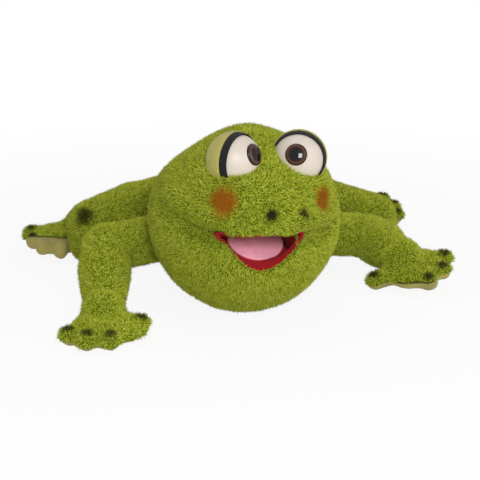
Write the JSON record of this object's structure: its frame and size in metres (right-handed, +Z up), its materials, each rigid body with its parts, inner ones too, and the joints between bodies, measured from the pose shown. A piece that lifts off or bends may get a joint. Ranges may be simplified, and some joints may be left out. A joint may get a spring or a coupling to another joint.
{
  "type": "hand puppet",
  "caption": "Plush frog glove puppet lying on its belly, with a felt-lined mouth that opens, a head that turns and nods, jointed stuffed arms and legs, and a sleeve for the hand.",
  "frame": {"origin": "on the floor, at the middle of the flat that the belly rests on", "axes": "+Z up; the frog faces -Y with its torso along Y; its left side is +X"},
  "size_m": [0.4733, 0.3955, 0.1936],
  "materials": {
    "green_fur": "short yellow-green plush",
    "pale_fur": "pale green velour",
    "red_felt": "red felt",
    "pink_felt": "pink felt",
    "suede": "olive suede cloth",
    "cotton": "plain woven cotton",
    "foam": "upholstery foam",
    "board": "stiff fibre board",
    "eye_white": "satin white plastic",
    "eye_black": "black felt strip",
    "eye_brown": "glossy brown eye with a black pupil"
  },
  "bodies": {
    "torso": {"back_panel": "green_fur", "belly_panel": "pale_fur", "sleeve_lining": "cotton", "opening_hem": "cotton"},
    "neck": {"neck_band": "green_fur"},
    "head": {"head_cover": "green_fur", "head_foam": "foam", "palate_felt": "red_felt", "palate_board": "board", "finger_pocket": "cotton", "right_cheek": "green_fur", "left_cheek": "green_fur", "right_eyeball": "eye_white", "right_lid": "pale_fur", "right_liner": "eye_black", "right_iris": "eye_brown", "left_eyeball": "eye_white", "left_lid": "pale_fur", "left_liner": "eye_black", "left_iris": "eye_brown"},
    "jaw": {"jaw_cover": "green_fur", "jaw_foam": "foam", "jaw_felt": "red_felt", "jaw_board": "board", "tongue": "pink_felt", "thumb_pocket": "cotton"},
    "right_upper_arm": {"right_upper_arm": "green_fur"},
    "right_forearm": {"right_forearm": "green_fur"},
    "right_hand": {"right_hand": "green_fur", "right_hand_sole": "suede"},
    "right_thigh": {"right_thigh": "green_fur"},
    "right_shin": {"right_shin": "green_fur"},
    "right_foot": {"right_foot": "green_fur", "right_foot_sole": "suede"},
    "left_upper_arm": {"left_upper_arm": "green_fur"},
    "left_forearm": {"left_forearm": "green_fur"},
    "left_hand": {"left_hand": "green_fur", "left_hand_sole": "suede"},
    "left_thigh": {"left_thigh": "green_fur"},
    "left_shin": {"left_shin": "green_fur"},
    "left_foot": {"left_foot": "green_fur", "left_foot_sole": "suede"}
  },
  "joints": [
    {"name": "head_turn", "type": "hinge", "parent": "torso", "child": "neck", "pos_m": [0, -0.165, 0.0945], "axis": [0, 0, 1], "range_deg": [-45, 15], "stiffness_Nm_per_rad": 0.25},
    {"name": "head_nod", "type": "hinge", "parent": "neck", "child": "head", "pos_m": [0, -0.165, 0.0945], "axis": [0.9659, 0.2588, 0], "range_deg": [-16, 16], "stiffness_Nm_per_rad": 0.5},
    {"name": "jaw_open", "type": "hinge", "parent": "head", "child": "jaw", "pos_m": [0.00362, -0.17852, 0.0975], "axis": [0.9659, 0.2588, 0], "range_deg": [-21, 8], "stiffness_Nm_per_rad": 0.6, "deforming": ["right_cheek", "left_cheek"]},
    {"name": "right_shoulder", "type": "hinge", "parent": "torso", "child": "right_upper_arm", "pos_m": [-0.0623, -0.08003, 0.05], "axis": [0, 0, 1], "range_deg": [-28, 3], "stiffness_Nm_per_rad": 0.15},
    {"name": "right_elbow", "type": "hinge", "parent": "right_upper_arm", "child": "right_forearm", "pos_m": [-0.13848, -0.14395, 0.06045], "axis": [0.4816, -0.4511, 0.7513], "range_deg": [-18, 18], "stiffness_Nm_per_rad": 0.15},
    {"name": "right_wrist", "type": "hinge", "parent": "right_forearm", "child": "right_hand", "pos_m": [-0.14185, -0.20826, 0.024], "axis": [0.9903, -0.1392, 0], "range_deg": [-20, 20], "stiffness_Nm_per_rad": 0.08},
    {"name": "left_shoulder", "type": "hinge", "parent": "torso", "child": "left_upper_arm", "pos_m": [0.0623, -0.08003, 0.05], "axis": [0, 0, 1], "range_deg": [-27, 3], "stiffness_Nm_per_rad": 0.15},
    {"name": "left_elbow", "type": "hinge", "parent": "left_upper_arm", "child": "left_forearm", "pos_m": [0.15712, -0.05462, 0.03092], "axis": [-0.175, -0.0836, -0.981], "range_deg": [-32, 12], "stiffness_Nm_per_rad": 0.15},
    {"name": "left_wrist", "type": "hinge", "parent": "left_forearm", "child": "left_hand", "pos_m": [0.1674, -0.12777, 0.03532], "axis": [0.7839, 0.5287, 0.3256], "range_deg": [-20, 20], "stiffness_Nm_per_rad": 0.08},
    {"name": "right_hip", "type": "hinge", "parent": "torso", "child": "right_thigh", "pos_m": [-0.0633, 0.03602, 0.06], "axis": [0, 0, 1], "range_deg": [-34, 4], "stiffness_Nm_per_rad": 0.2},
    {"name": "right_knee", "type": "hinge", "parent": "right_thigh", "child": "right_shin", "pos_m": [-0.16224, -0.03071, 0.04746], "axis": [0.2436, -0.182, -0.9526], "range_deg": [-10, 8], "stiffness_Nm_per_rad": 0.2},
    {"name": "right_ankle", "type": "hinge", "parent": "right_shin", "child": "right_foot", "pos_m": [-0.16702, 0.03765, 0.03317], "axis": [0.559, -0.7694, -0.309], "range_deg": [-20, 20], "stiffness_Nm_per_rad": 0.08},
    {"name": "left_hip", "type": "hinge", "parent": "torso", "child": "left_thigh", "pos_m": [0.0633, 0.03602, 0.06], "axis": [0, 0, 1], "range_deg": [-3, 22], "stiffness_Nm_per_rad": 0.2},
    {"name": "left_knee", "type": "hinge", "parent": "left_thigh", "child": "left_shin", "pos_m": [0.17675, 0.00983, 0.03097], "axis": [0.252, 0.019, 0.9675], "range_deg": [-12, 8], "stiffness_Nm_per_rad": 0.2},
    {"name": "left_ankle", "type": "hinge", "parent": "left_shin", "child": "left_foot", "pos_m": [0.16943, 0.07945, 0.0315], "axis": [0.0677, 0.9679, 0.2419], "range_deg": [-20, 20], "stiffness_Nm_per_rad": 0.08}
  ]
}
